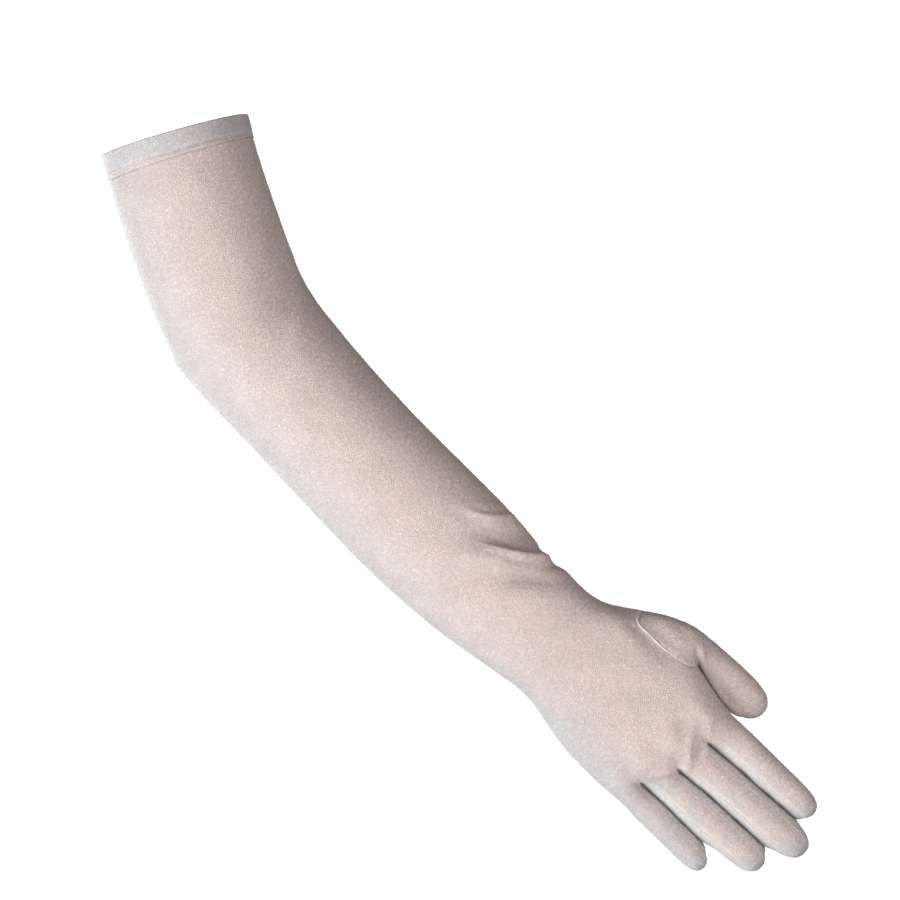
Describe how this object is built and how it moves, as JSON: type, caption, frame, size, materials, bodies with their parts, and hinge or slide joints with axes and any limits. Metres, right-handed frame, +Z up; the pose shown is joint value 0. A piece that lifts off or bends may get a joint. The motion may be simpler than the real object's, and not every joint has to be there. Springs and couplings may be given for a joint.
{
  "type": "mesh opera glove",
  "caption": "Long right-hand dress glove of fine see-through mesh, in its worn shape, open at the arm, with set-in thumb, finger strips and folded hem.",
  "frame": {"origin": "centre of the arm opening, at the hem's top edge", "axes": "+Z up along the forearm, away from the fingers; +X towards the thumb's side, where the upper arm leans; -Y the way the back of the hand faces"},
  "size_m": [0.1302, 0.0786, 0.5462],
  "materials": {
    "mesh": "fine see-through stretch mesh, warm silver grey with a faint sparkle",
    "finger_strip": "the same mesh in narrow strips, a little paler and denser",
    "hem": "the same mesh folded double and stitched, cooler grey"
  },
  "bodies": {
    "root": {"sleeve_back": "mesh", "sleeve_palm": "mesh", "hand_back": "mesh", "hand_palm": "mesh", "thumb_back": "mesh", "thumb_palm": "mesh", "fourchette_little_ring": "finger_strip", "fourchette_ring_middle": "finger_strip", "fourchette_middle_index": "finger_strip", "cuff_hem": "hem"}
  },
  "joints": []
}
